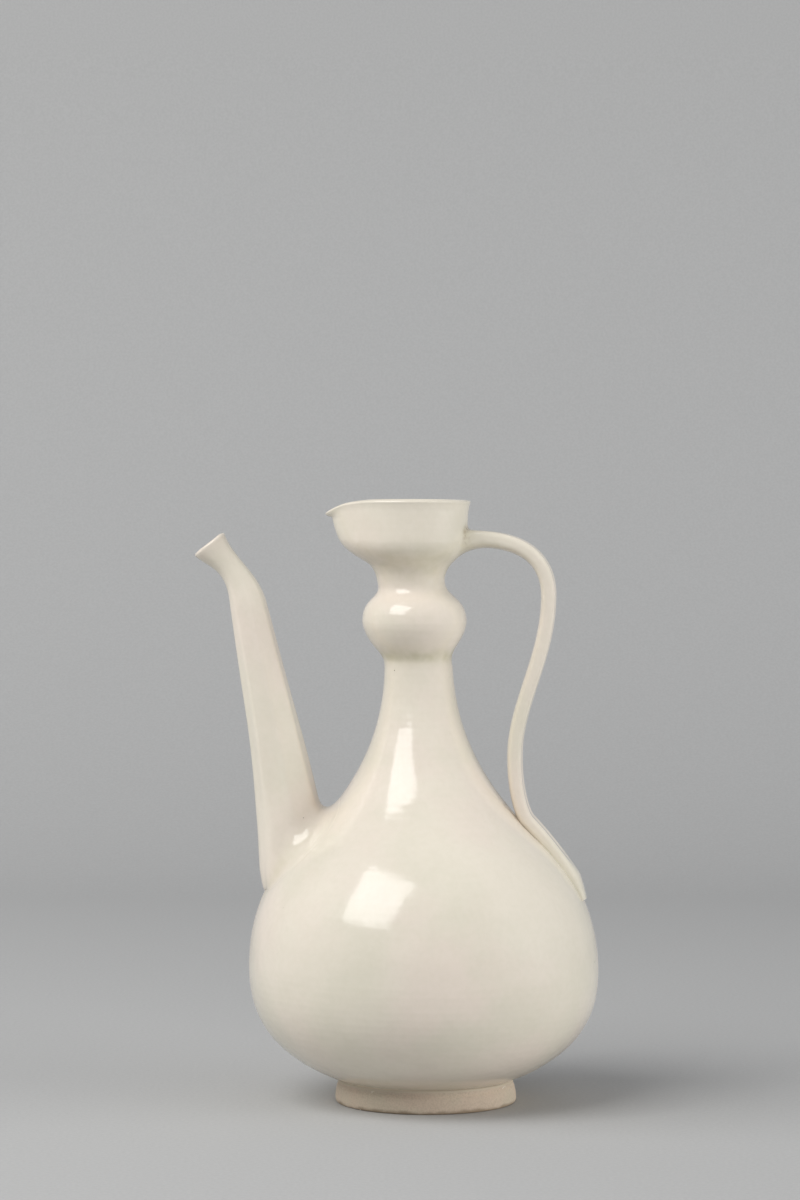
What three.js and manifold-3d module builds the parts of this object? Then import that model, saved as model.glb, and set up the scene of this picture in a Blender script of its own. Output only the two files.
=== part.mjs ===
// A white glazed ewer: turned body, neck bulb and cup, faceted spout and strap handle.
// Millimetres, +Z up. The spout points to -X and the handle to +X.
import * as THREE from "three";
import { mergeVertices } from "three/addons/utils/BufferGeometryUtils.js";
import Module from "manifold-3d";

const wasm = await Module();
wasm.setup();

const radians = THREE.MathUtils.degToRad;
const mix = THREE.MathUtils.lerp;
const smooth = THREE.MathUtils.smoothstep;

// Foot ring
const footHeight = 10.5;
const footRadius = 45.0;
const footTopRadius = 44.0;
const footWidth = 6.8;
const footBevel = 1.0;

// Bowl, from the foot to the widest part of the belly
const bowlHeight = 56.8;
const bowlBaseRadius = 47.3;
const bellyRadius = 87.2;
const floorThickness = 6.0;
const bodyWall = 4.5;

// Shoulder, up to its flattest place, and neck, on from there to the crease under the bulb.
// The slopes here and on the spout are degrees from upright.
const shoulderHeight = 64.7;
const shoulderTopRadius = 58.0;
const shoulderTopSlope = 46.7;
const neckHeight = 90.5;
const neckTopRadius = 16.9;
const pourHoleRadius = 7.0;

// Hollow bulb on the neck
const bulbHeight = 35.5;
const bulbWaistHeight = 17.0;
const bulbRadius = 26.0;
const bulbRiseSlope = 42.0;
const bulbWall = 4.2;
const stemRadius = 16.8;

// Cup, its everted rim and its pulled pouring lip
const cupHeight = 42.0;
const cupShoulderHeight = 23.5;
const cupRadius = 28.8;
const cupWall = 3.6;
const rimRadius = 30.5;
const rimHeight = 3.2;
const rimThickness = 2.4;
const rimSag = 0.7;
const lipReach = 11.7;
const lipDrop = 4.6;
const lipHalfAngle = 66.0;
const lipRootHeight = 11.0;

// Lean of the thrown body, and how far off its neck the bulb and then the cup were set
const leanAngle = 0.95;
const bulbSet = 1.7;
const cupSet = 1.6;
const setHeight = 7.0;

// Spout: its seat, its bend below the mouth, and its faceted section at four places
const spoutSeatHeight = 126.7;
const spoutSeatSlope = 9.4;
const spoutSeatRadius = 19.3;
const spoutSeatTaper = 0.13;
const bendReach = 23.0;
const bendRise = 120.8;
const bendSlope = 11.7;
const bendRadius = 9.7;
const bendTaper = 0.055;
const mouthReach = 41.7;
const mouthRise = 150.75;
const mouthSlope = 37.0;
const mouthRadius = 10.3;
const mouthFlare = 0.35;
const throatDepth = 15.0;
const throatRadius = 7.1;
const spoutFacets = 8;
const spoutTwist = 8.0;
const arrisRounding = 0.35;
const spoutSeatWall = 4.8;
const bendWall = 3.6;
const throatWall = 3.0;
const mouthWall = 2.2;
const spoutCrotchFairing = 7.0;
const spoutUnderFairing = 2.2;

// Handle: a strap with a hollowed back, from the cup's flank down to the shoulder. Its reach
// is measured from the upright line through the foot's centre.
const strapWidth = 17.0;
const strapThickness = 7.9;
const strapRootThickness = 9.6;
const strapHollow = 0.9;
const handleTurn = 5.0;
const handleRootHeight = 21.5;
const handleReach = 61.6;
const handleReachDrop = 27.2;
const handleWaistReach = 44.3;
const handleWaistRise = 40.5;
const handleLandingRise = 6.5;
const handleLandingLift = 3.2;
const handleTailDrop = 30.5;
const tailLength = 15.0;
const tailThickness = 1.6;
const tailWidth = 12.0;
const handleTopFairing = 2.6;
const handleUnderFairing = 6.5;

// Clearance of the luted joints on curved walls, and the thin edge of a fairing there
const lutingGap = 0.3;
const lutingEdge = 0.8;

// Where each curve's control points lie, as shares of the stretch that it belongs to
const bowlPull = { out: 0.7, up: 0.305, top: 0.517 };
const shoulderPull = { belly: 0.55, top: 0.2 };
const neckPull = { root: 0.56, top: 0.25 };
const bulbPull = { rise: 0.72, under: 0.12, over: 0.63, stem: 0.38 };
const cupPull = { stem: 0.55, under: 0.5, wall: 0.25, rim: 0.5 };
const spoutPull = { seat: 0.54, underBend: 0.52, overBend: 0.48, mouth: 0.22 };
const archPull = { out: 0.79, up: 0.25, reach: 0.64 };
const bowPull = { reach: 0.39, waist: 0.33 };
const landingPull = { waist: 0.6, shoulder: 0.1 };

// Power that squares up the strap's oval section: 1 is an ellipse, and less is nearer a box
const strapRoundness = 0.72;

// How finely round forms are divided
const turnSegments = 52;
const facetDivisions = 3;
const strapPoints = 20;

// Heights of the joints over the surface that the ewer stands on
const bellyJoint = footHeight + bowlHeight;
const shoulderTop = bellyJoint + shoulderHeight;
const neckJoint = shoulderTop + neckHeight;
const bulbJoint = neckJoint + bulbHeight;
const rimTop = bulbJoint + cupHeight;

// Points of a smooth stretch of outline between two [radius, height] points. Each end's pull
// is the vector to its control point, so neighbours that pull along one line join smoothly.
function stretch(start, startPull, end, endPull, steps) {
  const curve = new THREE.CubicBezierCurve(
    new THREE.Vector2(start[0], start[1]),
    new THREE.Vector2(start[0] + startPull[0], start[1] + startPull[1]),
    new THREE.Vector2(end[0] + endPull[0], end[1] + endPull[1]),
    new THREE.Vector2(end[0], end[1]),
  );
  return curve.getPoints(steps);
}

// Two outlines end to end, without the shared point twice.
function joined(first, second) {
  return first.concat(second.slice(1));
}

// The inside of a wall: every other point of the outline, moved in along its normal, with
// both ends level with the joints that the piece ends on.
function inset(outline, wall) {
  const low = outline[0];
  const high = outline[outline.length - 1];
  const between = [];
  for (let i = 1; i < outline.length - 1; i += 2) {
    const along = outline[i + 1].clone().sub(outline[i - 1]).normalize();
    const point = new THREE.Vector2(-along.y, along.x).multiplyScalar(wall).add(outline[i]);
    if (point.y > low.y + wall / 4 && point.y < high.y - wall / 4) between.push(point);
  }
  return [new THREE.Vector2(low.x - wall, low.y), ...between, new THREE.Vector2(high.x - wall, high.y)];
}

// Sideways shift of the body's axis at a height: a slight lean, and a step under the bulb and
// under the cup.
function axisShift(height) {
  const bulb = bulbSet * smooth(height, neckJoint - setHeight, neckJoint + setHeight);
  const cup = cupSet * smooth(height, bulbJoint - setHeight, bulbJoint + setHeight / 2);
  return -height * Math.tan(radians(leanAngle)) - bulb - cup;
}

function lean(geometry) {
  const position = geometry.attributes.position;
  for (let i = 0; i < position.count; i += 1) {
    position.setX(i, position.getX(i) + axisShift(position.getZ(i)));
  }
  return geometry;
}

// A solid turned about the upright axis from an outline that ends on it or closes on itself.
function turned(outline) {
  return new THREE.LatheGeometry(outline, turnSegments).rotateX(Math.PI / 2);
}

function turnedRing(outline) {
  return turned([...outline, outline[0]]);
}

// A closed skin over rings of points. It joins its last ring to its first, or ends in fans.
function skinned(rings, loops) {
  const count = rings[0].length;
  const positions = rings.flat().flatMap((p) => [p.x, p.y, p.z]);
  const faces = [];
  const bands = loops ? rings.length : rings.length - 1;
  for (let band = 0; band < bands; band += 1) {
    const near = band * count;
    const far = ((band + 1) % rings.length) * count;
    for (let i = 0; i < count; i += 1) {
      const next = (i + 1) % count;
      faces.push(near + i, far + next, near + next);
      faces.push(near + i, far + i, far + next);
    }
  }
  const addFan = (start, forward) => {
    const ring = rings[start / count];
    const hub = ring.reduce((sum, p) => sum.add(p), new THREE.Vector3()).divideScalar(count);
    const middle = positions.length / 3;
    positions.push(hub.x, hub.y, hub.z);
    for (let i = 0; i < count; i += 1) {
      const next = (i + 1) % count;
      faces.push(middle, start + (forward ? i : next), start + (forward ? next : i));
    }
  };
  if (!loops) {
    addFan(0, true);
    addFan((rings.length - 1) * count, false);
  }
  const geometry = new THREE.BufferGeometry();
  geometry.setAttribute("position", new THREE.Float32BufferAttribute(positions, 3));
  geometry.setIndex(faces);
  return geometry;
}

// A turned outer wall that other pieces seat on, with a clearance to them.
class Seat {
  constructor(outline, gap) {
    this.outline = outline;
    this.gap = gap;
  }

  // Radius of the wall at a height, and its unit normal there, split into out and up.
  wall(height) {
    const last = this.outline.length - 2;
    const over = this.outline.findIndex((p) => p.y > height);
    const i = over < 0 ? last : Math.max(over - 1, 0);
    const low = this.outline[i];
    const high = this.outline[i + 1];
    const along = high.clone().sub(low).normalize();
    const radius = mix(low.x, high.x, (height - low.y) / (high.y - low.y));
    return { radius, out: along.y, up: -along.x };
  }

  // How far a point lies outside the wall and its clearance.
  distance(point) {
    const { radius, out } = this.wall(point.z);
    const across = Math.hypot(point.x - axisShift(point.z), point.y);
    return (across - radius) * out - this.gap;
  }

  // The point moved along the wall's normal until it lies a given height over the clearance.
  settled(point, over = 0) {
    const moved = point.clone();
    for (let pass = 0; pass < 6; pass += 1) {
      const { out, up } = this.wall(moved.z);
      const x = moved.x - axisShift(moved.z);
      const across = Math.hypot(x, moved.y);
      const step = over - this.distance(moved);
      moved.x += (x / across) * out * step;
      moved.y += (moved.y / across) * out * step;
      moved.z += up * step;
    }
    return moved;
  }

  // Where a line, a function of the distance along it, comes out through the wall.
  crossing(line, inside, outside) {
    let low = inside;
    let high = outside;
    for (let pass = 0; pass < 40; pass += 1) {
      const middle = (low + high) / 2;
      if (this.distance(line(middle)) < 0) low = middle;
      else high = middle;
    }
    return high;
  }
}

// A hollow fairing from a branch down to the wall that it stands on: from the branch's own
// line, tangent to it, round the corner where it meets the wall, to a thin edge on the wall.
function fairing(seat, line, crossing, size, centre) {
  const corner = line(crossing);
  const away = corner.clone().sub(centre).normalize().multiplyScalar(size);
  const foot = seat.settled(corner.clone().add(away), lutingEdge);
  const curve = new THREE.QuadraticBezierCurve3(
    line(crossing + size),
    seat.settled(corner, lutingEdge),
    foot,
  );
  return [...curve.getPoints(4), seat.settled(foot)];
}

// Rings of a luted face that lies along the wall, from its edge towards inner points.
function lutedFace(seat, edge, inner, steps) {
  const rings = [];
  for (let n = 1; n < steps; n += 1) {
    rings.push(edge.map((p, i) => seat.settled(p.clone().lerp(inner[i], n / steps))));
  }
  return rings;
}

// Outer outlines, as [radius, height] points from the foot up
function bowlOutline() {
  const swell = bellyRadius - bowlBaseRadius;
  return stretch(
    [bowlBaseRadius, footHeight], [swell * bowlPull.out, bowlHeight * bowlPull.up],
    [bellyRadius, bellyJoint], [0, -bowlHeight * bowlPull.top], 11,
  );
}

function shoulderOutline() {
  const out = Math.sin(radians(shoulderTopSlope));
  const up = Math.cos(radians(shoulderTopSlope));
  const below = shoulderHeight * shoulderPull.top;
  const above = neckHeight * neckPull.root;
  const shoulder = stretch(
    [bellyRadius, bellyJoint], [0, shoulderHeight * shoulderPull.belly],
    [shoulderTopRadius, shoulderTop], [out * below, -up * below], 10,
  );
  const neck = stretch(
    [shoulderTopRadius, shoulderTop], [-out * above, up * above],
    [neckTopRadius, neckJoint], [0, -neckHeight * neckPull.top], 8,
  );
  return joined(shoulder, neck);
}

function bulbOutline() {
  const rise = bulbWaistHeight * bulbPull.rise;
  const out = Math.sin(radians(bulbRiseSlope)) * rise;
  const up = Math.cos(radians(bulbRiseSlope)) * rise;
  const waist = neckJoint + bulbWaistHeight;
  const upper = bulbHeight - bulbWaistHeight;
  const lower = stretch(
    [neckTopRadius, neckJoint], [out, up],
    [bulbRadius, waist], [0, -bulbWaistHeight * bulbPull.under], 5,
  );
  const top = stretch(
    [bulbRadius, waist], [0, upper * bulbPull.over],
    [stemRadius, bulbJoint], [0, -upper * bulbPull.stem], 7,
  );
  return joined(lower, top);
}

function cupOutline() {
  const shoulder = bulbJoint + cupShoulderHeight;
  const rim = rimTop - rimThickness / 2;
  const flare = stretch(
    [stemRadius, bulbJoint], [0, cupShoulderHeight * cupPull.stem],
    [cupRadius, shoulder], [0, -cupShoulderHeight * cupPull.under], 9,
  );
  const wall = stretch(
    [cupRadius, shoulder], [0, (rim - shoulder) * cupPull.wall],
    [rimRadius, rim], [-rimHeight * cupPull.rim, -rimHeight], 5,
  );
  return joined(flare, wall);
}

const bodySeat = new Seat(joined(bowlOutline(), shoulderOutline()), lutingGap);
const cupSeat = new Seat(cupOutline(), lutingGap);

function footRing() {
  const inner = footRadius - footWidth;
  const pull = footHeight / 3;
  const side = stretch(
    [footRadius, footBevel], [0, pull],
    [footTopRadius, footHeight], [0, -pull], 3,
  );
  return lean(turnedRing([
    new THREE.Vector2(inner + footBevel, 0),
    new THREE.Vector2(footRadius - footBevel, 0),
    ...side,
    new THREE.Vector2(inner - footBevel, footHeight),
    new THREE.Vector2(inner, footBevel),
  ]));
}

function lowerBody() {
  const outer = bowlOutline();
  const floorTop = footHeight + floorThickness;
  const inner = inset(outer, bodyWall).filter((p) => p.y > floorTop + bodyWall / 4);
  const edge = inner[0];
  const outline = [
    new THREE.Vector2(0, footHeight),
    ...outer,
    ...inner.reverse(),
    new THREE.Vector2(edge.x - bodyWall * 2, floorTop),
    new THREE.Vector2(0, floorTop),
  ];
  return lean(turned(outline));
}

// Cuts need one solid with its shared corners merged.
function solidOf(geometry) {
  const bare = geometry.clone();
  bare.deleteAttribute("normal");
  bare.deleteAttribute("uv");
  const merged = mergeVertices(bare, 1e-4);
  return new wasm.Manifold(new wasm.Mesh({
    numProp: 3,
    vertProperties: new Float32Array(merged.attributes.position.array),
    triVerts: new Uint32Array(merged.index.array),
  }));
}

function geometryOf(solid) {
  const mesh = solid.getMesh();
  const geometry = new THREE.BufferGeometry();
  geometry.setAttribute("position", new THREE.BufferAttribute(mesh.vertProperties, 3));
  geometry.setIndex(new THREE.BufferAttribute(mesh.triVerts, 1));
  return geometry;
}

// Where the spout's centre line meets the shoulder.
function spoutSeat() {
  const { radius } = bodySeat.wall(spoutSeatHeight);
  return new THREE.Vector3(axisShift(spoutSeatHeight) - radius, 0, spoutSeatHeight);
}

// The dome and neck, drilled square to the wall in the middle of the spout's seat.
function shoulderNeck() {
  const outer = shoulderOutline();
  const shell = lean(turnedRing([...outer, ...inset(outer, bodyWall).reverse()]));
  const { out, up } = bodySeat.wall(spoutSeatHeight);
  const seat = spoutSeat();
  const drill = new THREE.CylinderGeometry(pourHoleRadius, pourHoleRadius, bodyWall * 4, 24);
  drill.applyQuaternion(new THREE.Quaternion().setFromUnitVectors(
    new THREE.Vector3(0, 1, 0),
    new THREE.Vector3(-out, 0, up),
  ));
  drill.translate(seat.x, seat.y, seat.z);
  return geometryOf(solidOf(shell).subtract(solidOf(drill)));
}

function neckBulb() {
  const outer = bulbOutline();
  return lean(turnedRing([...outer, ...inset(outer, bulbWall).reverse()]));
}

// The wall over the lip's root is drawn out and down towards the spout's side, and the rim
// sags a little on the handle's side.
function pullLip(geometry) {
  const position = geometry.attributes.position;
  const root = bulbJoint + lipRootHeight;
  for (let i = 0; i < position.count; i += 1) {
    const x = position.getX(i);
    const y = position.getY(i);
    const z = position.getZ(i);
    const rise = THREE.MathUtils.clamp((z - root) / (rimTop - root), 0, 1);
    const reached = 1 - (1 - rise) ** 2;
    const spread = mix(Math.PI / 2, radians(lipHalfAngle), rise);
    const share = 1 - smooth(Math.abs(Math.atan2(y, -x)), 0, spread);
    const sag = rimSag * (Math.max(x, 0) / rimRadius) ** 2;
    position.setX(i, x - lipReach * reached * share);
    position.setZ(i, z - (lipDrop * share ** 1.5 + sag) * rise ** 3);
  }
  return geometry;
}

function cupMouth() {
  const outer = cupOutline();
  const inner = inset(outer, cupWall);
  const rim = outer[outer.length - 1];
  inner[inner.length - 1] = new THREE.Vector2(rim.x - rimThickness, rim.y);
  const half = rimThickness / 2;
  const roll = [45, 90, 135].map((degrees) => new THREE.Vector2(
    rim.x - half + Math.cos(radians(degrees)) * half,
    rim.y + Math.sin(radians(degrees)) * half,
  ));
  return lean(pullLip(turnedRing([...outer, ...roll, ...inner.reverse()])));
}

// Direction in the spout's plane, leaning out by a number of degrees from upright.
function outward(degrees) {
  return new THREE.Vector3(-Math.sin(radians(degrees)), 0, Math.cos(radians(degrees)));
}

// The spout's centre line: on from inside the body, nearly straight up, then bent to the
// mouth. Distances along it to the seat, the bend, the throat and the mouth come with it.
function spoutLine() {
  const seat = spoutSeat();
  const bend = seat.clone().add(new THREE.Vector3(-bendReach, 0, bendRise));
  const mouth = seat.clone().add(new THREE.Vector3(-mouthReach, 0, mouthRise));
  const buried = seat.clone().addScaledVector(outward(spoutSeatSlope), -spoutSeatRadius * 2.5);
  const tall = bend.distanceTo(seat);
  const short = mouth.distanceTo(bend);
  const path = new THREE.CurvePath();
  path.add(new THREE.LineCurve3(buried, seat));
  path.add(new THREE.CubicBezierCurve3(
    seat,
    seat.clone().addScaledVector(outward(spoutSeatSlope), tall * spoutPull.seat),
    bend.clone().addScaledVector(outward(bendSlope), -tall * spoutPull.underBend),
    bend,
  ));
  path.add(new THREE.CubicBezierCurve3(
    bend,
    bend.clone().addScaledVector(outward(bendSlope), short * spoutPull.overBend),
    mouth.clone().addScaledVector(outward(mouthSlope), -short * spoutPull.mouth),
    mouth,
  ));
  const [seatAt, bendAt, mouthAt] = path.getCurveLengths();
  return { path, seatAt, bendAt, mouthAt, throatAt: mouthAt - throatDepth };
}

// A size that runs smoothly through stations along a path, each with a size and a rate.
function runThrough(stations, along) {
  const first = stations[0];
  if (along <= first.at) return first.size + first.rate * (along - first.at);
  const next = Math.max(1, stations.findIndex((station) => station.at >= along));
  const low = stations[next - 1];
  const high = stations[next];
  const length = high.at - low.at;
  const t = (along - low.at) / length;
  return (2 * t ** 3 - 3 * t ** 2 + 1) * low.size + (t ** 3 - 2 * t ** 2 + t) * length * low.rate
    + (3 * t ** 2 - 2 * t ** 3) * high.size + (t ** 3 - t ** 2) * length * high.rate;
}

// The spout is one skin: down its faceted outside, over the fairing on the shoulder, in along
// the luted face, and back up the round channel to the mouth.
function spout() {
  const { path, seatAt, bendAt, throatAt, mouthAt } = spoutLine();
  const outer = [
    { at: seatAt, size: spoutSeatRadius, rate: -spoutSeatTaper },
    { at: bendAt, size: bendRadius, rate: -bendTaper },
    { at: throatAt, size: throatRadius, rate: 0 },
    { at: mouthAt, size: mouthRadius, rate: mouthFlare },
  ];
  const walls = [spoutSeatWall, bendWall, throatWall, mouthWall];
  const corner = (2 * Math.PI) / spoutFacets;
  const bore = outer.map((station, i) => (
    { ...station, size: station.size * Math.cos(corner / 2) - walls[i] }
  ));
  const ringPoint = (along, angle, radius) => {
    const share = Math.min(along / mouthAt, 1);
    const tangent = path.getTangentAt(share);
    const side = new THREE.Vector3(tangent.z, 0, -tangent.x);
    return path.getPointAt(share)
      .addScaledVector(side, Math.cos(angle) * radius)
      .add(new THREE.Vector3(0, Math.sin(angle) * radius, 0));
  };
  const facet = (angle) => {
    const turn = THREE.MathUtils.euclideanModulo(angle - radians(spoutTwist), corner);
    return Math.cos(corner / 2) / Math.cos(turn - corner / 2);
  };
  const outerRadius = (along, angle) => {
    const radius = runThrough(outer, along);
    return Math.min(radius * facet(angle), radius - arrisRounding);
  };
  const count = spoutFacets * facetDivisions;
  const angles = Array.from({ length: count }, (_, i) => (
    radians(spoutTwist) + (i * 2 * Math.PI) / count
  ));
  const outside = angles.map((a) => (along) => ringPoint(along, a, outerRadius(along, a)));
  const channel = angles.map((a) => (along) => ringPoint(along, a, runThrough(bore, along)));
  const starts = outside.map((line) => bodySeat.crossing(line, 0, bendAt));
  const channelStarts = channel.map((line) => bodySeat.crossing(line, 0, bendAt));
  const sizes = angles.map((a) => (
    mix(spoutUnderFairing, spoutCrotchFairing, (1 + Math.cos(a)) / 2)
  ));
  const centre = spoutSeat();
  const fairings = outside.map((line, i) => fairing(bodySeat, line, starts[i], sizes[i], centre));
  const rings = [];
  const outerSteps = 18;
  for (let n = 0; n < outerSteps; n += 1) {
    const share = n / outerSteps;
    rings.push(outside.map((line, i) => line(mix(mouthAt, starts[i] + sizes[i], share))));
  }
  fairings[0].forEach((_, n) => rings.push(fairings.map((points) => points[n])));
  const edge = fairings.map((points) => points[points.length - 1]);
  const hole = channel.map((line, i) => line(channelStarts[i]));
  rings.push(...lutedFace(bodySeat, edge, hole, 4));
  const channelSteps = 12;
  for (let n = 0; n <= channelSteps; n += 1) {
    const share = n / channelSteps;
    rings.push(channel.map((line, i) => line(mix(channelStarts[i], mouthAt, share))));
  }
  return skinned(rings, true);
}

// The handle's centre line, in an upright plane turned a little from the spout's: an arch
// from the cup, a bow, a waist, and a run that sinks down the shoulder.
function handleLine() {
  const turn = radians(handleTurn);
  const place = (reach, height) => (
    new THREE.Vector3(reach * Math.cos(turn), -reach * Math.sin(turn), height)
  );
  const onShoulder = (height, over) => {
    const { radius, out, up } = bodySeat.wall(height);
    return { reach: radius + axisShift(height) + over * out, height: height + over * up, out, up };
  };
  const rootHeight = bulbJoint + handleRootHeight;
  const rootReach = cupRadius / 2 + axisShift(rootHeight);
  const reachHeight = rootHeight - handleReachDrop;
  const waistHeight = shoulderTop + handleWaistRise;
  const land = onShoulder(shoulderTop + handleLandingRise, handleLandingLift);
  const tail = onShoulder(shoulderTop - handleTailDrop, 0);
  const arch = handleReach - rootReach;
  const fall = reachHeight - waistHeight;
  const drop = waistHeight - land.height;
  const run = Math.hypot(tail.reach - land.reach, land.height - tail.height) / 3;
  const landing = drop * landingPull.shoulder;
  const path = new THREE.CurvePath();
  path.add(new THREE.CubicBezierCurve3(
    place(rootReach, rootHeight),
    place(rootReach + arch * archPull.out, rootHeight + handleReachDrop * archPull.up),
    place(handleReach, reachHeight + handleReachDrop * archPull.reach),
    place(handleReach, reachHeight),
  ));
  path.add(new THREE.CubicBezierCurve3(
    place(handleReach, reachHeight),
    place(handleReach, reachHeight - fall * bowPull.reach),
    place(handleWaistReach, waistHeight + fall * bowPull.waist),
    place(handleWaistReach, waistHeight),
  ));
  path.add(new THREE.CubicBezierCurve3(
    place(handleWaistReach, waistHeight),
    place(handleWaistReach, waistHeight - drop * landingPull.waist),
    place(land.reach - landing * land.up, land.height + landing * land.out),
    place(land.reach, land.height),
  ));
  path.add(new THREE.CubicBezierCurve3(
    place(land.reach, land.height),
    place(land.reach + run * land.up, land.height - run * land.out),
    place(tail.reach - run * tail.up, tail.height + run * tail.out),
    place(tail.reach, tail.height),
  ));
  return path;
}

// The handle is one skin: a luted face on the cup's flank, the fairing round it, the strap,
// and its tail pressed down on the shoulder.
function handle() {
  const path = handleLine();
  const length = path.getLength();
  const turn = radians(handleTurn);
  const across = new THREE.Vector3(Math.sin(turn), Math.cos(turn), 0);
  const squared = (v) => Math.sign(v) * Math.abs(v) ** strapRoundness;
  const strapPoint = (along, angle) => {
    const share = Math.min(along / length, 1);
    const back = new THREE.Vector3().crossVectors(path.getTangentAt(share), across);
    const full = THREE.MathUtils.clamp((length - along) / tailLength, 0, 1);
    const thick = mix(strapRootThickness, strapThickness, smooth(along, 0, length / 3));
    const halfThick = mix(tailThickness, thick, full) / 2;
    const halfWide = mix(tailWidth, strapWidth, full) / 2;
    const behind = Math.max(Math.cos(angle), 0) * (1 - Math.abs(Math.sin(angle)));
    return path.getPointAt(share)
      .addScaledVector(back, squared(Math.cos(angle)) * halfThick - strapHollow * behind)
      .addScaledVector(across, squared(Math.sin(angle)) * halfWide);
  };
  const angles = Array.from({ length: strapPoints }, (_, i) => (i * 2 * Math.PI) / strapPoints);
  const lines = angles.map((angle) => (along) => strapPoint(along, angle));
  const near = length / 8;
  const starts = lines.map((line) => cupSeat.crossing(line, 0, near));
  const root = path.getPointAt(cupSeat.crossing((s) => path.getPointAt(s / length), 0, near) / length);
  const sizes = angles.map((angle) => (
    mix(handleUnderFairing, handleTopFairing, (1 + Math.cos(angle)) / 2)
  ));
  const fairings = lines.map((line, i) => fairing(cupSeat, line, starts[i], sizes[i], root));
  const edge = fairings.map((points) => points[points.length - 1]);
  const rings = lutedFace(cupSeat, edge, edge.map(() => root), 3).reverse();
  for (let n = fairings[0].length - 1; n >= 0; n -= 1) {
    rings.push(fairings.map((points) => points[n]));
  }
  const steps = 40;
  for (let n = 1; n <= steps; n += 1) {
    rings.push(lines.map((line, i) => {
      const point = line(mix(starts[i] + sizes[i], length, n / steps));
      const over = lutingEdge * Math.max(0, Math.cos(angles[i]));
      return bodySeat.distance(point) < over ? bodySeat.settled(point, over) : point;
    }));
  }
  return skinned(rings, false);
}

// Finishes
const glaze = { color: 0xe4ddcb, roughness: 0.18, metalness: 0 };
const bareClay = { color: 0xcdbaa2, roughness: 0.75, metalness: 0 };

function piece(name, geometry, finish) {
  const mesh = new THREE.Mesh(geometry, new THREE.MeshStandardMaterial(finish));
  mesh.name = name;
  return mesh;
}

const ewer = new THREE.Group();
ewer.add(
  piece("foot_ring", footRing(), bareClay),
  piece("lower_body", lowerBody(), glaze),
  piece("shoulder_neck", shoulderNeck(), glaze),
  piece("neck_bulb", neckBulb(), glaze),
  piece("cup_mouth", cupMouth(), glaze),
  piece("spout", spout(), glaze),
  piece("handle", handle(), glaze),
);

// The origin is the middle of the space that the ewer takes up on its table.
const space = new THREE.Box3().setFromObject(ewer, true);
ewer.position.set(-(space.min.x + space.max.x) / 2, -(space.min.y + space.max.y) / 2, 0);

export default ewer;
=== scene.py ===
# %% [markdown]
# A white glazed ewer, dressed for its picture.
# The real ewer is stoneware under a clear ivory glaze. A potter throws its belly and shoulder,
# the bulb and the cup as separate pieces and joins them, then lutes on a cut, faceted spout and
# a pulled strap handle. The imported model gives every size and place, and this script makes
# each of its seven pieces again with a finer surface and a glaze.

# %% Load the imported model
import math
import bpy
import numpy as np
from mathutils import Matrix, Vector


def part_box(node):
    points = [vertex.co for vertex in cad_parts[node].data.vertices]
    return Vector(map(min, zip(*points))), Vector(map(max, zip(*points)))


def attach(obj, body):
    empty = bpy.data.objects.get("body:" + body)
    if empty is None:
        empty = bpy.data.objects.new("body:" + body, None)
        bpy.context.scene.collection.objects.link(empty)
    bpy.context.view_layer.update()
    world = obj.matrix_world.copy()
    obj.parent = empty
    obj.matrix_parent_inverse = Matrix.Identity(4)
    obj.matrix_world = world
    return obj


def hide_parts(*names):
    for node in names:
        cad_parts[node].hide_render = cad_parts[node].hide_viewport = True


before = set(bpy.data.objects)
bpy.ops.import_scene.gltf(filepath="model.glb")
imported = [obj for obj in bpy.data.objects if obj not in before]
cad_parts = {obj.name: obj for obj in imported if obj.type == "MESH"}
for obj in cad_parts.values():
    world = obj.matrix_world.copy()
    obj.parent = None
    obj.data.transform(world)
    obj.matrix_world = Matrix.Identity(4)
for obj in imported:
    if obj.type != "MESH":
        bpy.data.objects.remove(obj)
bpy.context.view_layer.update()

# %% [markdown]
# Every size below is in millimetres, with X and Y measured from the middle of the foot, as on
# a wheel. Blender works in metres with the origin under the middle of the whole ewer, so one
# pair of helpers turns rows of points into a mesh there. That keeps the potter's numbers
# readable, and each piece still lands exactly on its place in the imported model.

# %% Millimetres to metres, and a mesh from rows of points
MM = 0.001
FOOT_BEVEL = 1.0
LEAN = math.tan(math.radians(0.95))
foot_low, foot_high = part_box("foot_ring")
FOOT_X = (foot_low[0] + foot_high[0]) / 2 + FOOT_BEVEL * LEAN * MM


def to_metres(points):
    placed = np.asarray(points, dtype=float) * MM
    placed[..., 0] += FOOT_X
    return placed


def new_piece(name, vertices, faces):
    mesh = bpy.data.meshes.new(name)
    mesh.from_pydata(to_metres(vertices).tolist(), [], faces)
    piece = bpy.data.objects.new(name, mesh)
    bpy.context.scene.collection.objects.link(piece)
    return piece


print("foot centre X", round(FOOT_X / MM, 2), "mm")

# %% Joint heights of the thrown pieces
FOOT_TOP = 10.5
GLAZE_EDGE = 12.2
BELLY_Z = 67.3
SHOULDER_Z = 132.0
NECK_TOP = 222.5
BULB_TOP = 258.0
RIM_TOP = 300.0
BULB_SET, CUP_SET, SET_HEIGHT = 1.7, 1.6, 7.0


def smooth(value, low, high):
    share = np.clip((np.asarray(value, dtype=float) - low) / (high - low), 0, 1)
    return share * share * (3 - 2 * share)


def axis_shift(z):
    """How far the thrown body's axis has wandered off the foot's centre at a height."""
    bulb = BULB_SET * smooth(z, NECK_TOP - SET_HEIGHT, NECK_TOP + SET_HEIGHT)
    cup = CUP_SET * smooth(z, BULB_TOP - SET_HEIGHT, BULB_TOP + SET_HEIGHT / 2)
    return -np.asarray(z, dtype=float) * LEAN - bulb - cup


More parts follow.
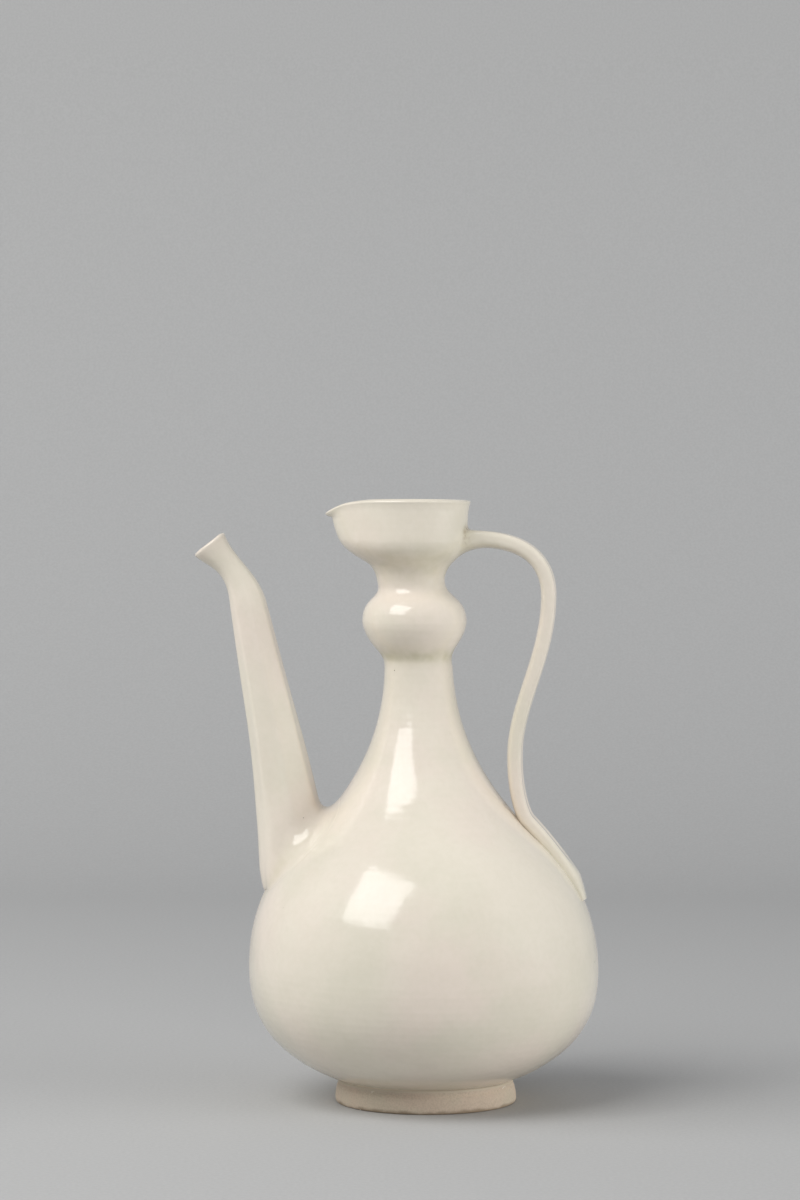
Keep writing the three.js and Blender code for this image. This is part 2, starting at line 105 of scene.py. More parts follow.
# %% [markdown]
# A thrown piece is one outline turned on a wheel. Its outline could be drawn by hand as a
# curve, but smooth stretches between a few measured points, each a Bezier curve, are easier
# to correct against a photograph. Neighbouring stretches that pull along one line join
# without a corner. The bulb meets the neck at a corner, which the glaze has filled a little.

# %% Outlines
def stretch(start, start_pull, end, end_pull, steps=48):
    """Points of a Bezier curve between two (radius, height) points."""
    start, end = np.array(start), np.array(end)
    controls = [start, start + start_pull, end + end_pull, end]
    t = np.linspace(0, 1, steps + 1)[:, None]
    weights = [(1 - t) ** 3, 3 * (1 - t) ** 2 * t, 3 * (1 - t) * t ** 2, t ** 3]
    return sum(w * c for w, c in zip(weights, controls))


def pull(degrees, length):
    """A vector of that length, leaning in by a number of degrees from upright."""
    lean = math.radians(degrees)
    return np.array([-math.sin(lean) * length, math.cos(lean) * length])


def creased(outline, size=3.4):
    """The outline with glaze in the crease under the bulb: a round valley, not a corner."""
    near = np.maximum(size - np.abs(outline[:, 1] - NECK_TOP), 0)
    rise = math.tan(math.radians(42))
    return outline + np.column_stack([rise * near ** 2 / (4 * size), 0 * near])


def bowl_outline():
    """A narrow bare band on the foot's line, then the glazed wall."""
    band = stretch((43.9, FOOT_TOP), (0, 0.8), (45.3, GLAZE_EDGE), (-1.1, -0.3), 8)
    wall = stretch((45.3, GLAZE_EDGE), (37.7, 14.7), (87.2, BELLY_Z), (0, -17.5), 72)
    return np.vstack([band, wall[1:]])


def shoulder_outline():
    shoulder = stretch((87.2, BELLY_Z), (0, 35.6), (58.0, SHOULDER_Z), -pull(46.7, 12.94), 64)
    neck = stretch((58.0, SHOULDER_Z), pull(46.7, 50.7), (16.9, NECK_TOP), (0, -22.6), 130)
    return creased(np.vstack([shoulder, neck[1:]]))


def bulb_outline():
    waist = (26.0, NECK_TOP + 17.0)
    lower = stretch((16.9, NECK_TOP), -pull(-42.0, -12.24), waist, (0, -2.0), 48)
    upper = stretch(waist, (0, 11.7), (16.8, BULB_TOP), (0, -7.0), 44)
    return creased(np.vstack([lower, upper[1:]]))


def cup_outline():
    flare = stretch((16.8, BULB_TOP), (0, 12.9), (28.8, BULB_TOP + 23.5), (0, -11.8), 56)
    wall = stretch((28.8, BULB_TOP + 23.5), (0, 4.3), (30.5, RIM_TOP - 1.2), (-1.6, -3.2), 32)
    return np.vstack([flare, wall[1:]])


def with_true_ends(outline):
    """The outline with a hair's breadth of its own slope added at each end, so that the
    light runs on over a joint between two pieces without a line."""
    first, last = outline[1] - outline[0], outline[-2] - outline[-1]
    first = outline[0] + first / np.hypot(*first) * 0.02
    last = outline[-1] + last / np.hypot(*last) * 0.02
    return np.vstack([outline[:1], first, outline[1:-1], last, outline[-1:]])


def inset(outline, wall):
    """The inside of a wall of that thickness, with both ends level with the joints."""
    along = np.gradient(outline, axis=0)
    along /= np.linalg.norm(along, axis=1, keepdims=True)
    inner = outline + wall * np.column_stack([-along[:, 1], along[:, 0]])
    low, high = outline[0, 1], outline[-1, 1]
    keep = (inner[:, 1] > low + wall / 4) & (inner[:, 1] < high - wall / 4)
    return np.vstack([outline[0] - [wall, 0], inner[keep][::2], outline[-1] - [wall, 0]])


print("outlines", [len(f()) for f in (bowl_outline, shoulder_outline, bulb_outline, cup_outline)])

# %% [markdown]
# The wheel itself is a Geometry Nodes tree. It takes an outline, spins a sheet of points
# round it, and closes the sheet into a skin. A Spin tool could do this too, but a tree also
# holds the marks that a wheel and two hands leave: faint throwing rings that climb the wall as
# a spiral, and a slow, uneven swell. Both depend only on height and angle, so they
# run on from one thrown piece to the next.

# %% Helper that adds nodes to a tree
class Bench:
    """Adds nodes and joins them. An input takes a plain value or another node's socket."""

    def __init__(self, tree):
        self.tree = tree

    def add(self, kind, inputs=None, **settings):
        made = self.tree.nodes.new(kind)
        for name, value in settings.items():
            setattr(made, name, value)
        for key, value in (inputs or {}).items():
            if isinstance(value, bpy.types.NodeSocket):
                self.tree.links.new(value, made.inputs[key])
            else:
                made.inputs[key].default_value = value
        return made

    def math(self, operation, *values):
        return self.add("ShaderNodeMath", dict(enumerate(values)), operation=operation).outputs[0]

    def vector(self, operation, *values):
        made = self.add("ShaderNodeVectorMath", dict(enumerate(values)), operation=operation)
        return made.outputs["Value" if operation in ("LENGTH", "DISTANCE") else "Vector"]

    def ramp(self, value, low, high, to_low=0.0, to_high=1.0):
        made = self.add("ShaderNodeMapRange", {"Value": value, "From Min": low, "From Max": high,
                                               "To Min": to_low, "To Max": to_high},
                        interpolation_type="SMOOTHSTEP")
        return made.outputs["Result"]


# %% The wheel
def make_wheel():
    tree = bpy.data.node_groups.new("potters_wheel", "GeometryNodeTree")
    wanted = (("Outline", "Geometry", None), ("Steps round", "Int", 192), ("Ring", "Bool", True),
              ("Ridge height", "Float", 0.012), ("Ridge spacing", "Float", 3.6),
              ("Swell height", "Float", 0.16), ("Swell spacing", "Float", 42.0),
              ("Seed", "Float", 4.0), ("Glaze", "Material", None))
    for name, kind, value in wanted:
        made = tree.interface.new_socket(name, in_out="INPUT", socket_type="NodeSocket" + kind)
        if value is not None:
            made.default_value = value
    tree.interface.new_socket("Piece", in_out="OUTPUT", socket_type="NodeSocketGeometry")
    bench = Bench(tree)
    given = bench.add("NodeGroupInput").outputs

    size = bench.add("GeometryNodeAttributeDomainSize", {"Geometry": given["Outline"]})
    points = size.outputs["Point Count"]
    rows = bench.math("ADD", points, given["Ring"])
    grid = bench.add("GeometryNodeMeshGrid", {
        "Size X": 1.0, "Size Y": 1.0, "Vertices Y": rows,
        "Vertices X": bench.math("ADD", given["Steps round"], 1.0)}).outputs["Mesh"]
    place = bench.add("GeometryNodeInputPosition").outputs["Position"]
    flat = bench.add("ShaderNodeSeparateXYZ", {"Vector": place}).outputs
    row = bench.math("ROUND", bench.math("MULTIPLY", bench.math("ADD", flat["Y"], 0.5),
                                         bench.math("SUBTRACT", rows, 1.0)))
    angle = bench.math("MULTIPLY", bench.math("ADD", flat["X"], 0.5), 2 * math.pi)
    outline = bench.add("GeometryNodeSampleIndex", {
        "Geometry": given["Outline"], "Value": place, "Index": bench.math("MODULO", row, points)},
        data_type="FLOAT_VECTOR", domain="POINT").outputs["Value"]
    drawn = bench.add("ShaderNodeSeparateXYZ", {"Vector": outline}).outputs
    radius, height = drawn["X"], drawn["Z"]

    turns = bench.math("DIVIDE", bench.math("MULTIPLY", height, 2 * math.pi / MM),
                       given["Ridge spacing"])
    ridge = bench.math("MULTIPLY", bench.math("SINE", bench.math("ADD", turns, angle)),
                       given["Ridge height"])
    around = bench.add("ShaderNodeCombineXYZ", {
        "X": bench.math("MULTIPLY", bench.math("COSINE", angle), radius),
        "Y": bench.math("MULTIPLY", bench.math("SINE", angle), radius), "Z": height}).outputs[0]
    swell_scale = bench.math("DIVIDE", 1 / MM, given["Swell spacing"])
    swell = bench.add("ShaderNodeTexNoise", {"Vector": around, "W": given["Seed"],
                                             "Scale": swell_scale, "Detail": 1.0},
                      noise_dimensions="4D").outputs["Fac"]
    swell = bench.math("MULTIPLY", bench.math("SUBTRACT", swell, 0.5), given["Swell height"])
    proud = bench.math("MULTIPLY", bench.math("ADD", ridge, swell), MM)
    off_axis = bench.ramp(radius, 0.0, 20 * MM)
    radius = bench.math("ADD", radius, bench.math("MULTIPLY", proud, off_axis))

    spun = bench.add("ShaderNodeCombineXYZ", {
        "X": bench.math("MULTIPLY", bench.math("COSINE", angle), radius),
        "Y": bench.math("MULTIPLY", bench.math("SINE", angle), radius), "Z": height}).outputs[0]
    skin = bench.add("GeometryNodeSetPosition", {"Geometry": grid, "Position": spun})
    skin = bench.add("GeometryNodeMergeByDistance", {"Geometry": skin.outputs[0],
                                                     "Distance": 0.001 * MM})
    skin = bench.add("GeometryNodeRealizeInstances", {"Geometry": skin.outputs[0]})
    skin = bench.add("GeometryNodeSetMaterial", {"Geometry": skin.outputs[0],
                                                 "Material": given["Glaze"]})
    bench.add("NodeGroupOutput", {"Piece": skin.outputs[0]})
    return tree


wheel = make_wheel()
print("wheel inputs", [s.name for s in wheel.interface.items_tree if s.in_out == "INPUT"])


# %% Helpers that finish a mesh
def signed_volume(vertices, mesh):
    mesh.calc_loop_triangles()
    corners = np.empty(len(mesh.loop_triangles) * 3, dtype=np.int32)
    mesh.loop_triangles.foreach_get("vertices", corners)
    a, b, c = vertices[corners.reshape(-1, 3)].transpose(1, 0, 2)
    return float(np.einsum("ij,ij->i", a, np.cross(b, c)).sum() / 6)


def vertices_of(mesh):
    flat = np.empty(len(mesh.vertices) * 3)
    mesh.vertices.foreach_get("co", flat)
    return flat.reshape(-1, 3)


def move_vertices(mesh, vertices):
    mesh.vertices.foreach_set("co", vertices.ravel())
    mesh.update()


def finish_mesh(piece, sharp_angle=40):
    """Faces outwards, smooth light, and corners kept where the form has them."""
    mesh = piece.data
    if signed_volume(vertices_of(mesh), mesh) < 0:
        mesh.flip_normals()
    mesh.shade_smooth()
    mesh.set_sharp_from_angle(angle=math.radians(sharp_angle))
    cubic_cm = signed_volume(vertices_of(mesh), mesh) * 1e6
    print(piece.name, len(mesh.loop_triangles), "triangles", round(cubic_cm, 1), "cm3")
    return piece


# %% Turn one piece on the wheel
def turned(name, outline, material, ring=True, steps_round=192):
    """A piece from its closed outline, in the row frame's metres but still on the axis."""
    points = np.column_stack([outline[:, 0], np.zeros(len(outline)), outline[:, 1]]) * MM
    mesh = bpy.data.meshes.new(name + "_outline")
    mesh.from_pydata(points.tolist(), [(i, i + 1) for i in range(len(points) - 1)], [])
    drawn = bpy.data.objects.new(name, mesh)
    bpy.context.scene.collection.objects.link(drawn)
    spin = drawn.modifiers.new("wheel", "NODES")
    spin.node_group = wheel
    inputs = {s.name: s.identifier for s in wheel.interface.items_tree if s.in_out == "INPUT"}
    spin[inputs["Steps round"]] = steps_round
    spin[inputs["Ring"]] = ring
    spin[inputs["Glaze"]] = material
    ready = drawn.evaluated_get(bpy.context.evaluated_depsgraph_get())
    result = bpy.data.meshes.new_from_object(ready)
    drawn.modifiers.clear()
    drawn.data = result
    bpy.data.meshes.remove(mesh)
    result.name = name
    return drawn


def lean_over(piece):
    """Puts a turned piece on the wandering axis and over the foot's place."""
    vertices = vertices_of(piece.data)
    vertices[:, 0] += axis_shift(vertices[:, 2] / MM) * MM + FOOT_X
    move_vertices(piece.data, vertices)
    return piece


# %% [markdown]
# The glaze is clear and slightly green where it lies thick, over a body that shows through as
# warm ivory. It pools in the crease under the bulb and round the roots of the spout and
# handle, and the same darker colour paints shade under the cup and low on the belly. A single
# colour would look like plastic. Noise at three scales does most of the work here: broad clouds
# of pink and olive, a fine mottle, and rare pinholes. All of it reads Object coordinates, which
# run on without a break because every piece's origin is the same.

# %% Colours
def linear(red, green, blue):
    """A colour picked as 0 to 255, in the linear values that a shader works in."""
    shares = [c / 255 for c in (red, green, blue)]
    return tuple(c / 12.92 if c < 0.04045 else ((c + 0.055) / 1.055) ** 2.4 for c in shares) + (1,)


IVORY = linear(232, 224, 208)
PINKISH = linear(232, 220, 206)
OLIVE = linear(223, 217, 199)
# Colour of thick glaze in the creases, also used to paint shade under the cup and low on the belly.
POOLED_AND_SHADED = linear(200, 193, 165)
CLAY = linear(204, 191, 170)
CLAY_PINK = linear(208, 190, 170)
# Dark clay for the grain, also used for the painted contact shadow at the foot's lower edge.
DARK_CLAY_AND_SHADOW = linear(142, 124, 102)
CHIP = linear(226, 216, 200)
STAIN = linear(132, 104, 62)
SPECK = linear(92, 78, 60)


def mixed(bench, share, low, high):
    made = bench.add("ShaderNodeMix", data_type="RGBA")
    for key, value in ((0, share), (6, low), (7, high)):
        if isinstance(value, bpy.types.NodeSocket):
            bench.tree.links.new(value, made.inputs[key])
        else:
            made.inputs[key].default_value = value
    return made.outputs[2]


def noise(bench, where, spacing, detail=2.0, roughness=0.5):
    """Noise with features about that many millimetres apart."""
    return bench.add("ShaderNodeTexNoise", {"Vector": where, "Scale": 1 / (spacing * MM),
                                            "Detail": detail, "Roughness": roughness}).outputs["Fac"]


# %% Clay and glaze
def make_glaze():
    material = bpy.data.materials.new("ivory_glaze")
    material.use_nodes = True
    bench = Bench(material.node_tree)
    shader = material.node_tree.nodes["Principled BSDF"]
    where = bench.add("ShaderNodeTexCoord").outputs["Object"]
    height = bench.add("ShaderNodeSeparateXYZ", {"Vector": where}).outputs["Z"]

    clouds = bench.ramp(noise(bench, where, 70, 3.0), 0.38, 0.66)
    colour = mixed(bench, clouds, IVORY, PINKISH)
    olive = bench.ramp(noise(bench, bench.vector("ADD", where, (0.7, 0.2, 0.4)), 48, 4.0),
                       0.42, 0.72)
    colour = mixed(bench, bench.math("MULTIPLY", olive, 0.8), colour, OLIVE)
    mottle = bench.ramp(noise(bench, where, 3.2, 5.0, 0.6), 0.3, 0.75)
    colour = mixed(bench, bench.math("MULTIPLY", mottle, 0.10), colour, POOLED_AND_SHADED)

    # One attribute holds both the thick glaze in the creases and painted shade under the cup and low on
    # the belly.
    pool_and_shade = bench.add("ShaderNodeAttribute", attribute_name="pool_and_shade").outputs["Fac"]
    blotch = bench.ramp(noise(bench, where, 6, 3.0), 0.25, 0.7, 0.45, 1.0)
    colour = mixed(bench, bench.math("MULTIPLY", pool_and_shade, blotch), colour, POOLED_AND_SHADED)
    stain = bench.add("ShaderNodeAttribute", attribute_name="stain").outputs["Fac"]
    patchy = bench.ramp(noise(bench, where, 2.4, 4.0, 0.65), 0.4, 0.62, 0.15, 1.0)
    colour = mixed(bench, bench.math("MULTIPLY", stain, patchy), colour, STAIN)

    cells = bench.add("ShaderNodeTexVoronoi", {"Vector": where, "Scale": 1 / (9 * MM)})
    chance = bench.add("ShaderNodeSeparateColor", {"Color": cells.outputs["Color"]}).outputs
    rare = bench.math("GREATER_THAN", chance["Red"], 0.86)
    width = bench.ramp(chance["Green"], 0.0, 1.0, 0.016, 0.042)
    inside = bench.math("LESS_THAN", cells.outputs["Distance"], width)
    speck = bench.math("MULTIPLY", rare, inside)
    colour = mixed(bench, bench.math("MULTIPLY", speck, 0.75), colour, SPECK)

    uneven = bench.math("MULTIPLY", bench.math("SUBTRACT", noise(bench, where, 9, 3.0), 0.5), 2 * MM)
    bare = bench.ramp(bench.math("ADD", height, uneven), (GLAZE_EDGE - 0.2) * MM,
                      (GLAZE_EDGE + 0.5) * MM, 1.0, 0.0)
    colour = mixed(bench, bare, colour, CLAY)
    bench.tree.links.new(colour, shader.inputs["Base Color"])

    rough = bench.ramp(noise(bench, where, 14, 3.0), 0.3, 0.7, 0.12, 0.2)
    rough = bench.math("MAXIMUM", rough, bench.math("MULTIPLY", bare, 0.7))
    bench.tree.links.new(rough, shader.inputs["Roughness"])
    glossy = bench.math("MULTIPLY", bench.math("SUBTRACT", 1.0, bare), 0.35)
    bench.tree.links.new(glossy, shader.inputs["Coat Weight"])
    shader.inputs["IOR"].default_value = 1.5
    shader.inputs["Coat Roughness"].default_value = 0.06

    peel = bench.math("MULTIPLY", noise(bench, where, 1.6, 2.0), 0.012)
    slow = bench.math("MULTIPLY", noise(bench, where, 27, 2.0), 0.75)
    wave = bench.math("ADD", slow, bench.math("MULTIPLY", noise(bench, where, 11, 2.0), 0.15))
    stretched = bench.vector("MULTIPLY", where, (0.12, 0.12, 1.0))
    wiped = bench.math("MULTIPLY", noise(bench, stretched, 2.6, 3.0), 0.014)
    relief = bench.math("ADD", bench.math("ADD", peel, wave), wiped)
    relief = bench.math("SUBTRACT", relief, bench.math("MULTIPLY", speck, 0.08))
    bump = bench.add("ShaderNodeBump", {"Height": relief, "Distance": MM, "Strength": 1.0})
    bench.tree.links.new(bump.outputs["Normal"], shader.inputs["Normal"])
    return material


glaze = make_glaze()
print("glaze nodes", len(glaze.node_tree.nodes))

# %% [markdown]
# The foot ring was wiped before the firing, so it shows bare clay: pink buff, matt and
# grainy, chipped in places, and a little dirty where it meets the table, with painted contact
# shadow along that lower edge too.

# %% Bare clay of the foot
def make_bare_clay():
    material = bpy.data.materials.new("bare_clay")
    material.use_nodes = True
    bench = Bench(material.node_tree)
    shader = material.node_tree.nodes["Principled BSDF"]
    where = bench.add("ShaderNodeTexCoord").outputs["Object"]
    height = bench.add("ShaderNodeSeparateXYZ", {"Vector": where}).outputs["Z"]
    tone = bench.ramp(noise(bench, where, 16, 4.0), 0.35, 0.65)
    colour = mixed(bench, tone, CLAY, CLAY_PINK)
    grain = bench.ramp(noise(bench, where, 0.9, 4.0, 0.7), 0.35, 0.8)
    colour = mixed(bench, bench.math("MULTIPLY", grain, 0.35), colour, DARK_CLAY_AND_SHADOW)
    # Painted contact shadow together with a little dirt: darker over the lowest 2 mm, where the foot
    # meets the table.
    uneven = bench.math("MULTIPLY", bench.math("SUBTRACT", noise(bench, where, 9, 3.0), 0.5), 4 * MM)
    dirt_and_contact_shadow = bench.ramp(bench.math("ADD", height, uneven), 0.2 * MM, 2.2 * MM, 0.8, 0.0)
    colour = mixed(bench, dirt_and_contact_shadow, colour, DARK_CLAY_AND_SHADOW)
    chips = bench.ramp(noise(bench, where, 5.5, 2.0), 0.71, 0.73)
    colour = mixed(bench, chips, colour, CHIP)
    bench.tree.links.new(colour, shader.inputs["Base Color"])
    shader.inputs["Roughness"].default_value = 0.72
    rough = bench.math("MULTIPLY", noise(bench, where, 0.7, 4.0, 0.7), 0.09)
    dents = bench.math("MULTIPLY", noise(bench, where, 6, 2.0), 0.35)
    relief = bench.math("SUBTRACT", bench.math("ADD", rough, dents), bench.math("MULTIPLY", chips, 0.2))
    bump = bench.add("ShaderNodeBump", {"Height": relief, "Distance": MM, "Strength": 1.0})
    bench.tree.links.new(bump.outputs["Normal"], shader.inputs["Normal"])
    return material


bare_clay = make_bare_clay()

# %% [markdown]
# Five pieces come off the wheel: the trimmed foot ring, the bowl up to the belly, the shoulder
# with the neck, the hollow bulb, and the cup. Each is a closed wall with an inside, because
# one can look into the cup and the mouth of the spout.

# %% Foot ring
FOOT_RADIUS, FOOT_WIDTH = 45.0, 6.8
FOOT_STEP = 7.6


def foot_outline():
    """A worn lower edge, a slightly swelling band, and a set-in band under the glaze."""
    inner = FOOT_RADIUS - FOOT_WIDTH
    rounded = [(FOOT_RADIUS - FOOT_BEVEL * (1 - math.sin(a)), FOOT_BEVEL * (1 - math.cos(a)))
               for a in np.linspace(0, math.pi / 2, 7)]
    band = stretch((FOOT_RADIUS, FOOT_BEVEL), (0.35, 2.5), (44.4, FOOT_STEP), (0.3, -1.5), 22)
    step = stretch((44.4, FOOT_STEP), (-0.15, 0.7), (43.7, FOOT_STEP + 1.7), (0.0, -0.5), 8)
    top = stretch((43.7, FOOT_STEP + 1.7), (0, 0.4), (43.9, FOOT_TOP), (-0.1, -0.4), 6)
    return np.vstack([[(inner + FOOT_BEVEL, 0)], rounded, band[1:], step[1:], top[1:],
                      [(inner - FOOT_BEVEL, FOOT_TOP), (inner, FOOT_BEVEL)]])


foot = lean_over(turned("foot", foot_outline(), bare_clay, steps_round=256))


# %% Bowl and shoulder
def bowl_closed():
    """The floor of the bowl stays flat, 6 mm thick."""
    floor = FOOT_TOP + 6.0
    outer = with_true_ends(bowl_outline())
    inner = inset(bowl_outline(), 4.5)
    inner = inner[inner[:, 1] > floor + 4.5 / 4][::-1]
    edge = inner[-1]
    return np.vstack([[(0, FOOT_TOP)], outer, inner, [(edge[0] - 9, floor), (0, floor)]])


bowl = lean_over(turned("bowl", bowl_closed(), glaze, ring=False, steps_round=224))
shoulder_closed = np.vstack([with_true_ends(shoulder_outline()), inset(shoulder_outline(), 4.5)[::-1]])
shoulder = lean_over(turned("shoulder_and_neck", shoulder_closed, glaze, steps_round=224))

# %% Bulb
bulb_closed = np.vstack([with_true_ends(bulb_outline()), inset(bulb_outline(), 4.2)[::-1]])
bulb = lean_over(turned("bulb", bulb_closed, glaze))

# %% [markdown]
# The cup starts as a turned piece too, with a thin rolled rim. While the clay is still soft,
# a finger draws one side of it out and down into a pouring lip. That move is a
# plain function of height and angle, so it is made on the vertices.

# %% Cup and its pulled lip
RIM_RADIUS, RIM_WIDTH, RIM_SAG = 30.5, 2.4, 0.4
LIP_REACH, LIP_DROP, LIP_SPREAD, LIP_ROOT = 9.4, 3.7, math.radians(66), BULB_TOP + 9.5
BEAK_REACH, BEAK_DROP, BEAK_SPREAD, BEAK_HEIGHT = 2.0, 2.4, math.radians(30), 8.0


def cup_closed():
    outer, half = cup_outline(), RIM_WIDTH / 2
    inner = inset(outer, 3.6)
    inner[-1] = outer[-1] - [RIM_WIDTH, 0]
    roll = [(RIM_RADIUS - half + math.cos(a) * half, outer[-1, 1] + math.sin(a) * half)
            for a in np.linspace(0, math.pi, 13)[1:-1]]
    return np.vstack([with_true_ends(outer)[:-2], outer[-1:], roll, inner[::-1]])


def pull_lip(piece):
    """Draws one side out into a lip and its top into a beak. The rim's roll moves as one."""
    vertices = vertices_of(piece.data) / MM
    x, y, z = vertices.T
    aside = np.abs(np.arctan2(y, -x))
    roll = RIM_TOP - RIM_WIDTH / 2
    rise = np.clip((z - LIP_ROOT) / (roll - LIP_ROOT), 0, 1)
    reached = 1 - (1 - rise ** 1.25) ** 3
    share = 1 - smooth(aside / (math.pi / 2 + (LIP_SPREAD - math.pi / 2) * rise), 0, 1)
    beak = smooth(z, RIM_TOP - BEAK_HEIGHT, roll) * (1 - smooth(aside, 0, BEAK_SPREAD))
    sag = RIM_SAG * (np.maximum(x, 0) / RIM_RADIUS) ** 2
    vertices[:, 0] -= LIP_REACH * reached * share + BEAK_REACH * beak
    vertices[:, 2] -= (LIP_DROP * share ** 1.5 + sag) * rise ** 3 + BEAK_DROP * beak
    move_vertices(piece.data, vertices * MM)
    return piece


cup = lean_over(pull_lip(turned("cup", cup_closed(), glaze, steps_round=256)))


# %% [markdown]
# The spout and the handle sit on curved walls. A Boolean union would give a hard line
# there, where a potter presses the clay on and smooths the joint with a wet finger. So
# both are skins of rings that find the wall themselves and run out on it in a soft fillet. The
# wall below answers two questions: how far a point lies outside it, and where the nearest
# place on it is.

# %% A wall to seat pieces on
class Wall:
    def __init__(self, outline):
        self.height, self.radius = outline[:, 1], outline[:, 0]
        slope = np.gradient(self.radius, self.height)
        self.out = 1 / np.sqrt(1 + slope ** 2)
        self.up = -slope * self.out

    def at(self, z):
        return [np.interp(z, self.height, v) for v in (self.radius, self.out, self.up)]

    def distance(self, p):
        radius, out, _ = self.at(p[..., 2])
        return (np.hypot(p[..., 0] - axis_shift(p[..., 2]), p[..., 1]) - radius) * out

    def settled(self, p, over=0.0):
        """The points moved along the wall's normal until they lie that far over it."""
        p = np.array(p, dtype=float)
        for _ in range(8):
            _, out, up = self.at(p[..., 2])
            x = p[..., 0] - axis_shift(p[..., 2])
            across = np.maximum(np.hypot(x, p[..., 1]), 1e-9)
            step = over - self.distance(p)
            p[..., 0] += x / across * out * step
            p[..., 1] += p[..., 1] / across * out * step
            p[..., 2] += up * step
        return p

    def crossing(self, line, inside, outside):
        """For each line, the distance along it where it comes out through the wall."""
        for _ in range(34):
            middle = (inside + outside) / 2
            under = self.distance(line(middle)) < 0
            inside, outside = np.where(under, middle, inside), np.where(under, outside, middle)
        return outside


body_wall = Wall(np.vstack([bowl_outline(), shoulder_outline()[1:]]))
cup_wall = Wall(cup_outline())


def fillet(wall, line, crossing, size, reach, centre, steps=24, sink=0.25):
    """Rings of a fillet that starts tangent on a branch and runs out on its wall. Where the
    reach is less than 0, the edge is tucked back under the branch."""
    corner = wall.settled(line(crossing))
    away = corner - centre
    away = away / np.linalg.norm(away, axis=1, keepdims=True)
    foot = wall.settled(corner + away * reach[:, None], 0.02)
    bend = wall.settled(corner + away * np.minimum(reach, 0)[:, None] / 2)
    top = line(crossing + size)
    rings = []
    for t in np.linspace(0, 1, steps + 1):
        ring = (1 - t) ** 2 * top + 2 * t * (1 - t) * bend + t ** 2 * foot
        low = wall.distance(ring) < 0.02
        rings.append(np.where(low[:, None], wall.settled(ring, 0.02), ring))
    edge = wall.settled(foot + away * 0.6, -sink)
    return rings + [edge]


def sunk_face(wall, edge, inner, steps, depth=0.3):
    """Rings that close a skin under the wall's surface, from its edge to inner points."""
    return [wall.settled(edge + (inner - edge) * n / steps, -depth) for n in range(1, steps)]


def skin(name, rings, loops, material):
    """A closed skin over rings of points, looped or capped."""
    count = len(rings[0])
    vertices = np.vstack(rings)
    bands = len(rings) if loops else len(rings) - 1
    faces = []
    for band in range(bands):
        near, far = band * count, ((band + 1) % len(rings)) * count
        faces += [(near + i, far + i, far + (i + 1) % count, near + (i + 1) % count)
                  for i in range(count)]
    if not loops:
        for start, order in ((0, 1), (len(rings) - 1, -1)):
            middle = len(vertices)
            vertices = np.vstack([vertices, rings[start].mean(axis=0)])
            base = start * count
            for i in range(count):
                pair = (base + i, base + (i + 1) % count)
                faces.append((middle,) + pair[::order])
    piece = new_piece(name, vertices, faces)
    piece.data.materials.append(material)
    return piece


# %% [markdown]
# The spout is a tapered tube, cut with a knife into eight facets while it was leather
# hard. Its ridges are crisp low down and soften under the glaze until the neck of the mouth
# is nearly round. Its section is a polygon whose corners are rounded by a power: the higher
# the power, the sharper the ridge. The line that it follows is two Bezier curves.

# %% The spout's line
def bezier(points, t):
    a, b, c, d = [np.asarray(p, dtype=float) for p in points]
    t = t[:, None]
    return (1 - t) ** 3 * a + 3 * (1 - t) ** 2 * t * b + 3 * (1 - t) * t ** 2 * c + t ** 3 * d


class Path:
    """A centre line through given points, read by the distance along it."""

    def __init__(self, points):
        keep = np.r_[True, np.linalg.norm(np.diff(points, axis=0), axis=1) > 1e-9]
        self.points = points[keep]
        steps = np.linalg.norm(np.diff(self.points, axis=0), axis=1)
        self.at = np.r_[0, np.cumsum(steps)]
        self.length = self.at[-1]

    def point(self, along):
        return np.stack([np.interp(along, self.at, c) for c in self.points.T], axis=-1)

    def tangent(self, along):
        near = np.clip(along, 0.3, self.length - 0.3)
        step = self.point(near + 0.3) - self.point(near - 0.3)
        return step / np.linalg.norm(step, axis=-1, keepdims=True)


def outward(degrees):
    return np.array([-math.sin(math.radians(degrees)), 0, math.cos(math.radians(degrees))])


SEAT_Z, SEAT_SLOPE, SEAT_RADIUS = 126.7, 9.4, 19.3
BEND_SLOPE, MOUTH_SLOPE = 11.7, 37.0
seat_radius, seat_out, seat_up = body_wall.at(SEAT_Z)
seat = np.array([float(axis_shift(SEAT_Z)) - seat_radius, 0, SEAT_Z])
bend = seat + [-23.0, 0, 120.8]
mouth = seat + [-42.1, 0, 150.9]
tall, short = np.linalg.norm(bend - seat), np.linalg.norm(mouth - bend)
buried = seat - outward(SEAT_SLOPE) * SEAT_RADIUS * 2.5
fine = np.linspace(0, 1, 400)
lower_run = bezier([seat, seat + outward(SEAT_SLOPE) * tall * 0.54,
                    bend - outward(BEND_SLOPE) * tall * 0.52, bend], fine)
upper_run = bezier([bend, bend + outward(BEND_SLOPE) * short * 0.48,
                    mouth - outward(MOUTH_SLOPE) * short * 0.22, mouth], fine)
spout_path = Path(np.vstack([[buried], lower_run, upper_run]))
SEAT_AT = np.linalg.norm(seat - buried)
BEND_AT = SEAT_AT + np.linalg.norm(np.diff(lower_run, axis=0), axis=1).sum()
MOUTH_AT = spout_path.length
THROAT_AT = MOUTH_AT - 15.0
print("spout runs", round(SEAT_AT, 1), round(BEND_AT, 1), round(MOUTH_AT, 1), "mm")


# %% The spout's section
def run_through(stations, along):
    """A size that runs smoothly through stations: distance, size and rate of change."""
    at, size, rate = np.array(stations, dtype=float).T
    along = np.asarray(along, dtype=float)
    i = np.clip(np.searchsorted(at, along) - 1, 0, len(at) - 2)
    length = at[i + 1] - at[i]
    t = (along - at[i]) / length
    run = ((2 * t ** 3 - 3 * t ** 2 + 1) * size[i] + (t ** 3 - 2 * t ** 2 + t) * length * rate[i]
           + (3 * t ** 2 - 2 * t ** 3) * size[i + 1] + (t ** 3 - t ** 2) * length * rate[i + 1])
    return np.where(along <= at[0], size[0] + rate[0] * (along - at[0]), run)


